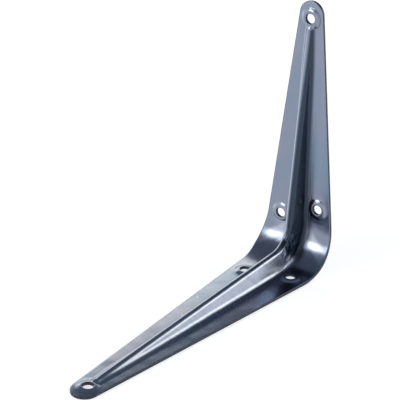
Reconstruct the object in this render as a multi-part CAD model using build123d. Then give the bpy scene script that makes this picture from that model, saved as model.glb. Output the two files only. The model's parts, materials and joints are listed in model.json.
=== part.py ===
from build123d import *
import os
from math import acos, atan2, cos, degrees, hypot, radians, sin, tan

# A shelf bracket pressed from one piece of steel sheet. Two tapered legs meet at a right angle in a round fold.
# A hollow rib stands up inside the angle, along the middle of both legs and round the fold.
# Each leg has three screw holes in low pressed bosses: one at its round end and a staggered pair beside the rib.
# The long leg lies along X with its outer face down, the upright leg goes up Z, and Y runs across the bracket.

# Sheet and outline
sheet = 1.0                  # thickness of the steel
long_leg = 125.0             # outer face of the upright leg to the end of the long leg
upright_leg = 100.0          # outer face of the long leg to the top of the upright leg
corner_width = 30.8          # width of the blank where the two outer faces would cross
end_radius = 4.8             # round end of each leg
bend_radius = 15.5           # inside radius of the fold
fold_side_radius = 60.0      # rounding of the side edges in the middle of the fold

# Rib
rib_height = 7.5             # crest above the inner face, round the fold
rib_end_height = 1.15        # crest above the inner face, where the rib starts to run out at the end hole
rib_crest_radius = 1.5       # outside of the crest
rib_foot_radius = 2.0        # hollow between a flank and the inner face
rib_lean = 75.0              # steepest flank, measured from the inner face, in degrees
rib_flank_least = 0.2        # straight part of the flank where the rib is low
rib_runout = 1.3             # length over which the crest drops to the end boss
rib_sink = 0.15              # depth of the crest under the top of the end boss, where the rib ends
low_rib_steps = 3            # stretches in which a low rib's flanks lie down towards the end hole

# Screw holes and their bosses
hole_diameter = 3.5
hole_rim_bevel = 0.25        # broken front edge of each hole
end_hole_inset = 6.35        # end of the leg to its end hole
pair_spacing = 15.7          # between the two holes of a pair, across the bracket
pair_near = 16.5             # nearer hole of a pair, from the other leg's outer face
pair_far = 22.5              # farther hole of a pair, from the other leg's outer face
boss_height = 0.6            # top of a boss above the inner face
boss_rim = 0.6               # flat ring between the hole and the boss's shoulder
boss_shoulder_radius = 2.0   # rounding between the flat ring and the sloping side
boss_lean = 26.0             # slope of a boss's side, measured from the inner face, in degrees

# Worked out from the sizes above
half_width = corner_width / 2
hole_radius = hole_diameter / 2
fold_start = sheet + bend_radius
boss_flat_radius = hole_radius + boss_rim
shoulder_width = boss_shoulder_radius * sin(radians(boss_lean))
shoulder_drop = boss_shoulder_radius * (1 - cos(radians(boss_lean)))
boss_side_width = (boss_height - shoulder_drop) / tan(radians(boss_lean))
past_pair = pair_far + boss_flat_radius + shoulder_width + boss_side_width
dimple_flat_radius = boss_flat_radius + (boss_shoulder_radius - sheet) * tan(radians(boss_lean / 2))
section_half_width = half_width + sheet
rib_radii = rib_crest_radius + rib_foot_radius
full_lean_height = rib_radii * (1 - cos(radians(rib_lean))) + rib_flank_least * sin(radians(rib_lean))


def rib_flank(height):
    """Lean in degrees and straight length of the flank that carries a crest of this height."""
    lean = radians(rib_lean)
    if height < full_lean_height:
        reach = hypot(rib_radii, rib_flank_least)
        lean = acos((rib_radii - height) / reach) - atan2(rib_flank_least, rib_radii)
    length = (height - rib_radii * (1 - cos(lean))) / sin(lean)
    return degrees(lean), length


def sheet_face(height, depth):
    """Line of the sheet across a leg with a rib of this height, this depth under the inner face."""
    lean, flank = rib_flank(height)
    foot_radius = rib_foot_radius + depth
    crest_radius = rib_crest_radius - depth
    level = sheet - depth
    turn = radians(lean)
    rib_half_width = rib_radii * sin(turn) + flank * cos(turn)
    left_flat = Line((-section_half_width, level), (-rib_half_width, level))
    left_foot = JernArc(left_flat @ 1, (1, 0), foot_radius, lean)
    left_flank = Line(left_foot @ 1, left_foot @ 1 + (left_foot % 1) * flank)
    crest = JernArc(left_flank @ 1, left_flank % 1, crest_radius, -2 * lean)
    right_flank = Line(crest @ 1, crest @ 1 + (crest % 1) * flank)
    right_foot = JernArc(right_flank @ 1, right_flank % 1, foot_radius, lean)
    right_flat = Line(right_foot @ 1, (section_half_width, level))
    return [left_flat, left_foot, left_flank, crest, right_flank, right_foot, right_flat]


def leg_section(distance, height):
    """Cut through the sheet at this distance along the long leg, where the rib has this height."""
    front = sheet_face(height, 0)
    back = sheet_face(height, sheet)
    left_end = Line(front[0] @ 0, back[0] @ 0)
    right_end = Line(front[-1] @ 1, back[-1] @ 1)
    place = Plane(origin=(distance, 0, 0), x_dir=(0, 1, 0), z_dir=(1, 0, 0))
    return place * make_face(front + [right_end] + back + [left_end])


def leg_outline(length, tall):
    """Column over the flat outline of a leg: straight sides from the corner width to the round end."""
    end = Pos(length - end_radius, 0) * Circle(end_radius)
    corner = Line((0, -half_width), (0, half_width))
    return extrude(make_hull(end.edges() + corner.edges()), amount=tall)


def ribbed_leg(length):
    """Leg along X from the start of the fold to its end, with its rib and its tapered outline."""
    hole_at = length - end_hole_inset
    runout_end = hole_at - boss_flat_radius
    runout_start = runout_end - rib_runout
    fall = (rib_height - rib_end_height) / (runout_start - fold_start)
    full_lean_at = fold_start + (rib_height - full_lean_height) / fall
    low_step = (runout_start - full_lean_at) / low_rib_steps
    places = [fold_start, past_pair] + [full_lean_at + low_step * step for step in range(low_rib_steps + 1)]
    sections = [leg_section(place, rib_height - fall * (place - fold_start)) for place in places]
    buried_height = boss_height - rib_sink
    sections.append(leg_section(runout_end, buried_height))
    main = loft(sections, ruled=True)
    buried = extrude(leg_section(runout_end, buried_height), amount=boss_flat_radius, dir=(1, 0, 0))
    tip = Pos(hole_at, 0, 0) * Box(
        end_hole_inset, 2 * section_half_width, sheet, align=(Align.MIN, Align.CENTER, Align.MIN))
    return (main + buried + tip) & leg_outline(length, fold_start)


def boss():
    """Low round boss: a flat ring, a rounded shoulder and a sloping side that runs on to the sheet's middle."""
    base = sheet / 2
    crown = Line((0, sheet + boss_height), (boss_flat_radius, sheet + boss_height))
    shoulder = JernArc(crown @ 1, (1, 0), boss_shoulder_radius, -boss_lean)
    shoulder_end = shoulder @ 1
    foot = (shoulder_end.X + (shoulder_end.Y - base) / tan(radians(boss_lean)), base)
    outline = [crown, shoulder, Line(shoulder_end, foot), Line(foot, (0, base)), Line((0, base), crown @ 0)]
    return revolve(Plane.XZ * make_face(outline), Axis.Z)


def dimple():
    """Hollow behind a boss in the outer face, one sheet thickness under it, with a plain sloping side."""
    depth = boss_height + sheet / 2
    mouth_radius = dimple_flat_radius + depth / tan(radians(boss_lean))
    hollow = Cone(mouth_radius, dimple_flat_radius, depth, align=(Align.CENTER, Align.CENTER, Align.MIN))
    return Pos(0, 0, -sheet / 2) * hollow


def hole_places(length):
    """Centres of a leg's three holes, as if the leg lay along X."""
    end_hole = Pos(length - end_hole_inset, 0, 0)
    near_hole = Pos(pair_near, pair_spacing / 2, 0)
    far_hole = Pos(pair_far, -pair_spacing / 2, 0)
    return [end_hole, near_hole, far_hole]


def as_upright(shape):
    """The upright leg is a long leg turned half round the line midway between the two legs."""
    return shape.rotate(Axis((0, 0, 0), (1, 0, 1)), 180)


def fold_outline():
    """Block round the fold whose sides follow both legs' outlines, with the corner between them rounded."""
    block = leg_outline(long_leg, fold_start) & as_upright(leg_outline(upright_leg, 2 * fold_start))

    def between_the_legs(edge):
        start, end = edge @ 0, edge @ 1
        return abs(start.X - end.X) > sheet and abs(start.Z - end.Z) > sheet
    return fillet(block.edges().filter_by(between_the_legs), fold_side_radius)


def front_rims(shape):
    """The hole edges on the inner faces: of each hole's two edges, the one farther from the outer face."""
    def at_a_hole(edge):
        return abs(edge.radius - hole_radius) < sheet / 1000

    def on_a_boss_top(edge):
        middle = edge.arc_center
        return edge.is_closed and min(middle.X, middle.Z) > boss_height + sheet / 2
    return shape.edges().filter_by(GeomType.CIRCLE).filter_by(on_a_boss_top).filter_by(at_a_hole)


# Both legs and the fold between them
fold_axis = Axis((fold_start, 0, fold_start), (0, 1, 0))
fold = revolve(leg_section(fold_start, rib_height), fold_axis, 90) & fold_outline()
bracket = ribbed_leg(long_leg) + fold + as_upright(ribbed_leg(upright_leg))

# Bosses on the inner faces, their dimples in the outer faces, and the holes through them
screw = Cylinder(hole_radius, 4 * (sheet + boss_height))
for place in hole_places(long_leg):
    bracket = bracket + place * boss()
    bracket = bracket - place * dimple() - place * screw
for place in hole_places(upright_leg):
    bracket = bracket + as_upright(place * boss())
    bracket = bracket - as_upright(place * dimple()) - as_upright(place * screw)
bracket = chamfer(front_rims(bracket), hole_rim_bevel)

os.makedirs("parts", exist_ok=True)
bracket = Pos(-long_leg / 2, 0, 0) * bracket
export_step(bracket, "parts/bracket.step")
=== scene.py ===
import json
from math import cos, pi, radians, sin, sqrt

import bpy
from mathutils import Matrix, Vector


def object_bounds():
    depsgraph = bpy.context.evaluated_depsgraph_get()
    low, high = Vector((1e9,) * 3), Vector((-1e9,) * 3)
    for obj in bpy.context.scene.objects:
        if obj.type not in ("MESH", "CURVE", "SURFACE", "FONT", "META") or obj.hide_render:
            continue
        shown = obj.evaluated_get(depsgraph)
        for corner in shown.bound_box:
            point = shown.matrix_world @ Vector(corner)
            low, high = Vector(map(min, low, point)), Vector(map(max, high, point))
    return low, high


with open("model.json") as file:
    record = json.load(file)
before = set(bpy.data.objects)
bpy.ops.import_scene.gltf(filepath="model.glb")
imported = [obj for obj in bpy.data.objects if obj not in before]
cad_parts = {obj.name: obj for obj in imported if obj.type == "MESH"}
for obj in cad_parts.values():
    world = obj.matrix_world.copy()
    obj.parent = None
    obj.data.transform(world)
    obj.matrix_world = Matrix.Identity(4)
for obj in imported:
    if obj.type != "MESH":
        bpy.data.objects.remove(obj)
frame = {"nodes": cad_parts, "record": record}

# A bright plated, pressed-steel shelf bracket on a white studio floor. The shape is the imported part's own.
# This script gives it its metal, the floor, the lights and the camera. Sizes are in metres.

cad_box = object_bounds()
low = Vector(cad_box[0])
mounts = {mount["name"]: mount for mount in frame["record"]["mounts"]}

# Camera, as fitted to the photograph's holes and outlines
camera_aim = Vector((-0.0006, 0.0, 0.0465))
camera_azimuth = 36.63
camera_elevation = 26.05
camera_distance = 0.5722
camera_roll = 1.855
camera_lens = 155.2
camera_sensor = 36.0

# Screw holes: the long leg's along X, the upright leg's along Z
hole_radius = mounts["long_end_hole"]["dims"]["r_mm"] / 1000
long_end_hole = mounts["long_end_hole"]["pos_m"][0]
long_pair = mounts["long_pair"]["pos_m"][0]
upright_end_hole = mounts["upright_end_hole"]["pos_m"][2]
upright_pair = mounts["upright_pair"]["pos_m"][2]
pair_half_diagonal = mounts["long_pair"]["dims"]["pcd_mm"] / 1000 / 2
pair_half_stagger = 0.0030
pair_half_spacing = sqrt(pair_half_diagonal ** 2 - pair_half_stagger ** 2)

# Colours of the plated steel, of its marks, and of painted highlight and shade
steel_cool_tint = (0.212, 0.268, 0.350, 1.0)
steel_warm_tint = (0.255, 0.272, 0.355, 1.0)
streak_tint = (0.33, 0.36, 0.43, 1.0)
speck_tint = (0.48, 0.50, 0.54, 1.0)
# Painted highlight: lighter colour where highlights fall on the crest, flank, fold and boss shoulders
painted_highlight_tint = (0.44, 0.485, 0.58, 1.0)
# Painted shade: the dark reflection on the upright rib's flank
painted_flank_shade_tint = (0.044, 0.060, 0.088, 1.0)
# Painted shade in the crease at the foot of that flank
crease_shade_tint = (0.012, 0.017, 0.026, 1.0)
# Dull cut metal, darkened further as painted shade
cut_edge_and_shade_tint = (0.05, 0.055, 0.066, 1.0)

# Shares of those marks, of the painted highlight on the boss shoulders, and of the gloss
streak_share = 0.25
shoulder_highlight_share = 0.4
least_roughness = 0.18
roughness_swing = 0.10

# Scales of the noise, in cells per metre, and how many finer layers it has
tint_scale = 45.0
streak_scale_along = 15.0
streak_scale_across = 350.0
press_line_scale_along = 380.0
press_line_scale_across = 60.0
speck_scale = 650.0
wave_scale = 110.0
wrinkle_scale = 420.0
metal_detail = 3.0
relief_detail = 1.0
speck_detail = 0.0

# Relief too small for the part's own shape, and the rays per point that look for edges and creases
shading_rays = 8
edge_rounding = 0.0006
wave_height = 0.0002
wrinkle_height = 0.0006
swell_height = 0.00028
crown_radius = 0.12
tip_droop = 0.05

# Fades of the marks: none at the first number, all at the second.
# Along the sheet, from the middle of the fold; the upright leg's side is negative
upright_run = (0.001, -0.001)
upright_rib_run = (0.006, 0.001)
# The next three fade the painted shade on the upright rib's flank and in its crease; the two after them fade
# the painted highlight on the long leg's flank
flank_shade_run = (-0.085, -0.045)
crease_shade_run_start = (-0.075, -0.005)
crease_shade_run_end = (0.008, 0.002)
flank_run_start = (0.003, 0.006)
flank_run_end = (0.14, 0.05)
wrinkle_run = (0.011, 0.004)

# Across the sheet, from its middle
crest_side = (0.0030, 0.0016)
# Of the painted crease shade
crease_shade_side_inner = (0.001, 0.002)
crease_shade_side_outer = (0.0075, 0.0050)

# From the axis of a screw hole
ring_reach = (hole_radius + 0.0003, hole_radius + 0.00015)
shoulder_inner = (hole_radius + 0.00075, hole_radius + 0.00135)
shoulder_outer = (hole_radius + 0.00235, hole_radius + 0.00175)
swell_reach = (hole_radius + 0.0045, hole_radius)

# From the middle of a painted highlight patch in the fold
highlight_patch_run = -0.005
highlight_patch_aside = 0.0095
highlight_patch_slant = 1.0
highlight_patch_length = (0.0048, 0.0015)
highlight_patch_width = (0.0060, 0.0025)

# By one part of the unit normal
inner_face_normal = (0.0, 0.2)
flank_shade_normal = (0.0, 0.7)
flank_shade_over_crest = 0.4
crest_normal = (-0.15, -0.5)
flank_normal = (0.3, 0.7)
wrinkle_normal = (0.3, 0.8)
sheared_normal = (0.13, 0.07)

# By the level of a noise, or of the open sky within reach over a crease where shade is painted
tint_level = (0.35, 0.65)
streak_level = (0.45, 0.75)
speck_level = (0.845, 0.875)
press_line_level = (-0.1, 0.6)
crease_level = (0.92, 0.68)
crease_reach = 0.007

# Studio
floor_size = 6.0
floor_colour = (0.82, 0.82, 0.82, 1.0)
floor_roughness = 0.9
floor_gloss = 0.1
floor_lift = 0.68
horizon_colour = (1.0, 1.0, 1.0, 1.0)
overhead_colour = (0.14, 0.175, 0.225, 1.0)
overhead_height = (sin(radians(8)), sin(radians(42)))
plain_white = (1.0, 1.0, 1.0)
warm_white = (1.0, 0.94, 0.80)


class Wiring:
    """Short calls that add nodes to one node tree and join them."""

    def __init__(self, owner):
        owner.use_nodes = True
        self.nodes = owner.node_tree.nodes
        self.links = owner.node_tree.links

    def join(self, value, socket):
        """Links an output to the socket, or sets the socket to a constant."""
        if isinstance(value, bpy.types.NodeSocket):
            self.links.new(value, socket)
        else:
            socket.default_value = value

    def node(self, kind, **inputs):
        node = self.nodes.new(kind)
        for name, value in inputs.items():
            self.join(value, node.inputs[name])
        return node

    def parts(self, vector):
        """X, Y and Z of a vector, by name."""
        return self.node("ShaderNodeSeparateXYZ", Vector=vector).outputs

    def math(self, operation, *values):
        node = self.nodes.new("ShaderNodeMath")
        node.operation = operation
        for value, socket in zip(values, node.inputs):
            self.join(value, socket)
        return node.outputs["Value"]

    def product(self, first, *others):
        for other in others:
            first = self.math("MULTIPLY", first, other)
        return first

    def greatest(self, first, *others):
        for other in others:
            first = self.math("MAXIMUM", first, other)
        return first

    def least(self, first, *others):
        for other in others:
            first = self.math("MINIMUM", first, other)
        return first

    def fade(self, value, limits):
        """0 where the value is at the first limit, 1 where it is at the second, smooth between."""
        node = self.nodes.new("ShaderNodeMapRange")
        node.interpolation_type = "SMOOTHSTEP"
        self.join(value, node.inputs["Value"])
        node.inputs["From Min"].default_value, node.inputs["From Max"].default_value = limits
        return node.outputs["Result"]

    def mix_number(self, share, first, second):
        """Number between two numbers."""
        return self.node("ShaderNodeMix", Factor=share, A=first, B=second).outputs["Result"]

    def mix(self, share, first, second):
        """Colour between two colours. The node's sockets share names between types, so they go by number."""
        node = self.nodes.new("ShaderNodeMix")
        node.data_type = "RGBA"
        self.join(share, node.inputs[0])
        self.join(first, node.inputs[6])
        self.join(second, node.inputs[7])
        return node.outputs[2]

    def noise(self, vector, scale, detail):
        return self.node("ShaderNodeTexNoise", Vector=vector, Scale=scale, Detail=detail).outputs["Fac"]

    def bump(self, height, distance, normal):
        node = self.node("ShaderNodeBump", Strength=1.0, Distance=distance, Height=height, Normal=normal)
        return node.outputs["Normal"]


def direction_from(azimuth, elevation):
    """Unit vector towards a place given by its azimuth from +X and its elevation, in degrees."""
    flat = cos(radians(elevation))
    return Vector((flat * cos(radians(azimuth)), flat * sin(radians(azimuth)), sin(radians(elevation))))


def facing_bracket(azimuth, elevation, distance):
    """Place at that distance from the bracket, turned so that its -Z looks at it."""
    outward = direction_from(azimuth, elevation)
    turn = (-outward).to_track_quat("-Z", "Y").to_matrix().to_4x4()
    return Matrix.Translation(camera_aim + outward * distance) @ turn


def add_camera():
    camera = bpy.data.objects.new("camera", bpy.data.cameras.new("camera"))
    bpy.context.scene.collection.objects.link(camera)
    roll = Matrix.Rotation(radians(camera_roll), 4, "Z")
    camera.matrix_world = facing_bracket(camera_azimuth, camera_elevation, camera_distance) @ roll
    camera.data.sensor_width = camera_sensor
    camera.data.lens = camera_lens
    bpy.context.scene.camera = camera


def add_lamp(name, colour, brightness, azimuth, elevation, distance, width, height):
    """Soft lamp that faces the bracket; brightness is that of its face, where 1 looks white."""
    data = bpy.data.lights.new(name, "AREA")
    data.shape = "RECTANGLE"
    data.size = width
    data.size_y = height
    data.energy = brightness * pi * width * height
    data.color = colour
    lamp = bpy.data.objects.new(name, data)
    bpy.context.scene.collection.objects.link(lamp)
    lamp.matrix_world = facing_bracket(azimuth, elevation, distance)


def white_floor():
    """Matt white that keeps the shadow, lifted to white where the camera or a reflection sees it."""
    material = bpy.data.materials.new("white_floor")
    wire = Wiring(material)
    surface = wire.nodes["Principled BSDF"]
    surface.inputs["Base Color"].default_value = floor_colour
    surface.inputs["Roughness"].default_value = floor_roughness
    surface.inputs["Specular IOR Level"].default_value = floor_gloss
    surface.inputs["Emission Color"].default_value = horizon_colour
    ray = wire.nodes.new("ShaderNodeLightPath").outputs
    seen = wire.greatest(ray["Is Camera Ray"], ray["Is Glossy Ray"], ray["Is Transmission Ray"])
    wire.join(wire.product(seen, floor_lift), surface.inputs["Emission Strength"])
    return material


def add_floor():
    half = floor_size / 2
    corners = [(-half, -half, 0), (half, -half, 0), (half, half, 0), (-half, half, 0)]
    mesh = bpy.data.meshes.new("floor")
    mesh.from_pydata(corners, [], [(0, 1, 2, 3)])
    mesh.materials.append(white_floor())
    floor = bpy.data.objects.new("floor", mesh)
    bpy.context.scene.collection.objects.link(floor)


def add_world():
    """Pale room: bright near the horizon, dim overhead."""
    world = bpy.data.worlds.new("studio")
    bpy.context.scene.world = world
    wire = Wiring(world)
    direction = wire.parts(wire.nodes.new("ShaderNodeTexCoord").outputs["Generated"])
    upward = wire.fade(direction["Z"], overhead_height)
    colour = wire.mix(upward, horizon_colour, overhead_colour)
    wire.join(colour, wire.nodes["Background"].inputs["Color"])


def from_nearest_hole(wire, place):
    """Distance from the axis of the nearest screw hole."""
    legs = (("X", long_end_hole, long_pair, 1), ("Z", upright_end_hole, upright_pair, -1))
    distances = []
    for axis, end_hole, pair, side in legs:
        near_hole = (pair - pair_half_stagger, side * pair_half_spacing)
        far_hole = (pair + pair_half_stagger, -side * pair_half_spacing)
        for along, across in ((end_hole, 0.0), near_hole, far_hole):
            off_along = wire.math("SUBTRACT", place[axis], along)
            off_across = wire.math("SUBTRACT", place["Y"], across)
            squares = wire.math("MULTIPLY_ADD", off_along, off_along, wire.product(off_across, off_across))
            distances.append(wire.math("SQRT", squares))
    return wire.least(*distances)


class Sheet:
    """Where a point lies on the bent sheet, as outputs of one material's nodes."""

    def __init__(self, wire):
        coords = wire.nodes.new("ShaderNodeTexCoord").outputs
        self.point = coords["Object"]
        self.place = wire.parts(self.point)
        self.normal = wire.parts(coords["Normal"])
        # Distance along the sheet from the middle of the fold: up the upright leg it is negative
        self.run = wire.math("SUBTRACT", wire.math("SUBTRACT", self.place["X"], low.x), self.place["Z"])
        self.on_upright = wire.fade(self.run, upright_run)
        # 1 on the side of the sheet that faces into the angle, 0 on its back and inside the rib
        self.inner_face = wire.fade(wire.math("ADD", self.normal["X"], self.normal["Z"]), inner_face_normal)
        self.from_hole = from_nearest_hole(wire, self.place)


def stretched_noise(wire, sheet, scale_along, scale_across):
    """Noise with one scale along the sheet and another across it."""
    lengthwise = wire.product(sheet.run, scale_along)
    crosswise = wire.product(sheet.place["Y"], scale_across)
    stretched = wire.node("ShaderNodeCombineXYZ", X=lengthwise, Y=crosswise)
    return wire.noise(stretched.outputs["Vector"], 1.0, metal_detail)


def cut_edge_and_shade(wire, sheet):
    """Share of dull cut metal, darkened further as painted shade: side edges and hole walls, square to the
    faces of their leg, and hole rims.
    """
    across_upright = wire.math("ABSOLUTE", sheet.normal["X"])
    across_long_leg = wire.math("ABSOLUTE", sheet.normal["Z"])
    across_sheet = wire.mix_number(sheet.on_upright, across_long_leg, across_upright)
    return wire.greatest(wire.fade(across_sheet, sheared_normal), wire.fade(sheet.from_hole, ring_reach))


def painted_flank_shade(wire, sheet):
    """Share of painted shade, a dark reflection, on the upright rib's flank; wider towards the fold."""
    on_crest = wire.fade(wire.math("ABSOLUTE", sheet.place["Y"]), crest_side)
    over_crest = wire.product(wire.fade(sheet.run, flank_shade_run), on_crest, flank_shade_over_crest)
    facing = wire.fade(wire.math("ADD", sheet.normal["Y"], over_crest), flank_shade_normal)
    return wire.product(facing, wire.fade(sheet.run, upright_rib_run), sheet.inner_face)


def crest_highlight(wire, sheet):
    """Share of painted highlight on the other side of the upright rib's crest."""
    return wire.product(wire.fade(sheet.normal["Y"], crest_normal), wire.fade(sheet.run, upright_rib_run))


def flank_highlight(wire, sheet):
    """Share of painted highlight on the long leg's rib, from the fold on, broken by lines of the press tool.
    """
    lines = stretched_noise(wire, sheet, press_line_scale_along, press_line_scale_across)
    stretch = wire.product(wire.fade(sheet.run, flank_run_start), wire.fade(sheet.run, flank_run_end))
    facing = wire.fade(sheet.normal["Y"], flank_normal)
    return wire.product(facing, stretch, wire.fade(lines, press_line_level))


def fold_highlight(wire, sheet):
    """Share of painted highlight in the fold: one slanted patch on each side of the rib."""
    aside = wire.math("SUBTRACT", wire.math("ABSOLUTE", sheet.place["Y"]), highlight_patch_aside)
    middle = wire.math("MULTIPLY_ADD", aside, highlight_patch_slant, highlight_patch_run)
    off_middle = wire.math("ABSOLUTE", wire.math("SUBTRACT", sheet.run, middle))
    return wire.product(wire.fade(off_middle, highlight_patch_length), wire.fade(wire.math("ABSOLUTE", aside), highlight_patch_width))


def shoulder_highlight(wire, sheet):
    """Share of painted highlight on the shoulders of the bosses."""
    outside_rim = wire.fade(sheet.from_hole, shoulder_inner)
    inside_foot = wire.fade(sheet.from_hole, shoulder_outer)
    return wire.product(outside_rim, inside_foot, shoulder_highlight_share)


def painted_highlight(wire, sheet):
    """Share of painted highlight, on the crest, the long leg's flank, the fold and the boss shoulders."""
    on_rib = wire.greatest(crest_highlight(wire, sheet), flank_highlight(wire, sheet))
    on_legs = wire.greatest(fold_highlight(wire, sheet), shoulder_highlight(wire, sheet))
    return wire.product(wire.greatest(on_rib, on_legs), sheet.inner_face)


def painted_crease_shade(wire, sheet):
    """Share of painted shade in the crease at the foot of the upright rib's flank, darker where the crease is
    closed in, most in the fold.
    """
    crease = wire.node("ShaderNodeAmbientOcclusion", Distance=crease_reach)
    crease.samples = shading_rays
    across = sheet.place["Y"]
    beside_rib = wire.product(wire.fade(across, crease_shade_side_inner), wire.fade(across, crease_shade_side_outer))
    stretch = wire.product(wire.fade(sheet.run, crease_shade_run_start), wire.fade(sheet.run, crease_shade_run_end))
    depth = wire.fade(crease.outputs["AO"], crease_level)
    return wire.product(depth, beside_rib, stretch, sheet.inner_face)


def steel_colour(wire, sheet, streaks):
    """Blue-grey plating with slow changes of tint, streaks and specks, under painted shade on the upright
    rib's flank and in its crease, painted highlights, and cut edges darkened partly as painted shade.
    """
    tint = wire.fade(wire.noise(sheet.point, tint_scale, metal_detail), tint_level)
    streak = wire.product(wire.fade(streaks, streak_level), streak_share)
    specks = wire.fade(wire.noise(sheet.point, speck_scale, speck_detail), speck_level)
    colour = wire.mix(tint, steel_cool_tint, steel_warm_tint)
    colour = wire.mix(streak, colour, streak_tint)
    colour = wire.mix(specks, colour, speck_tint)
    # Painted shade on the upright rib's flank
    colour = wire.mix(painted_flank_shade(wire, sheet), colour, painted_flank_shade_tint)
    # Painted highlights
    colour = wire.mix(painted_highlight(wire, sheet), colour, painted_highlight_tint)
    # Painted shade in the crease
    colour = wire.mix(painted_crease_shade(wire, sheet), colour, crease_shade_tint)
    # Dull cut edges, darkened further as painted shade
    return wire.mix(cut_edge_and_shade(wire, sheet), colour, cut_edge_and_shade_tint)


def sheet_relief(wire, sheet):
    """Normals with eased edges, slow waves, a slight crown, a drooping tip, a swell round each hole
    and wrinkles on the rib's flank in the fold."""
    eased = wire.node("ShaderNodeBevel", Radius=edge_rounding)
    eased.samples = shading_rays
    waves = wire.noise(sheet.point, wave_scale, relief_detail)
    waved = wire.bump(waves, wave_height, eased.outputs["Normal"])
    across = sheet.place["Y"]
    crown = wire.math("DIVIDE", wire.product(across, across), -2 * crown_radius)
    past_hole = wire.greatest(wire.math("SUBTRACT", sheet.place["X"], long_end_hole), 0.0)
    # This height is in metres already
    crowned = wire.bump(wire.math("SUBTRACT", crown, wire.product(past_hole, tip_droop)), 1.0, waved)
    swollen = wire.bump(wire.fade(sheet.from_hole, swell_reach), swell_height, crowned)
    in_fold = wire.fade(wire.math("ABSOLUTE", sheet.run), wrinkle_run)
    on_flank = wire.product(in_fold, wire.fade(sheet.normal["Y"], wrinkle_normal))
    wrinkles = wire.product(wire.noise(sheet.point, wrinkle_scale, relief_detail), on_flank)
    return wire.bump(wrinkles, wrinkle_height, swollen)


def plated_steel():
    material = bpy.data.materials.new("bright_steel")
    wire = Wiring(material)
    surface = wire.nodes["Principled BSDF"]
    sheet = Sheet(wire)
    streaks = stretched_noise(wire, sheet, streak_scale_along, streak_scale_across)
    surface.inputs["Metallic"].default_value = 1.0
    wire.join(steel_colour(wire, sheet, streaks), surface.inputs["Base Color"])
    roughness = wire.math("MULTIPLY_ADD", streaks, roughness_swing, least_roughness)
    wire.join(roughness, surface.inputs["Roughness"])
    wire.join(sheet_relief(wire, sheet), surface.inputs["Normal"])
    return material


bracket = frame["nodes"]["bracket"]
bracket.data.materials.clear()
bracket.data.materials.append(plated_steel())

add_floor()
add_world()
add_lamp("front_lamp", plain_white, brightness=3.6, azimuth=-33.5, elevation=28.0,
         distance=0.8, width=0.46, height=0.24)
add_lamp("side_softbox", warm_white, brightness=1.35, azimuth=137.0, elevation=13.5,
         distance=1.0, width=0.70, height=0.50)
add_lamp("back_softbox", warm_white, brightness=1.28, azimuth=232.0, elevation=18.0,
         distance=1.0, width=0.70, height=0.42)
add_camera()

bpy.context.scene.view_settings.view_transform = "Standard"
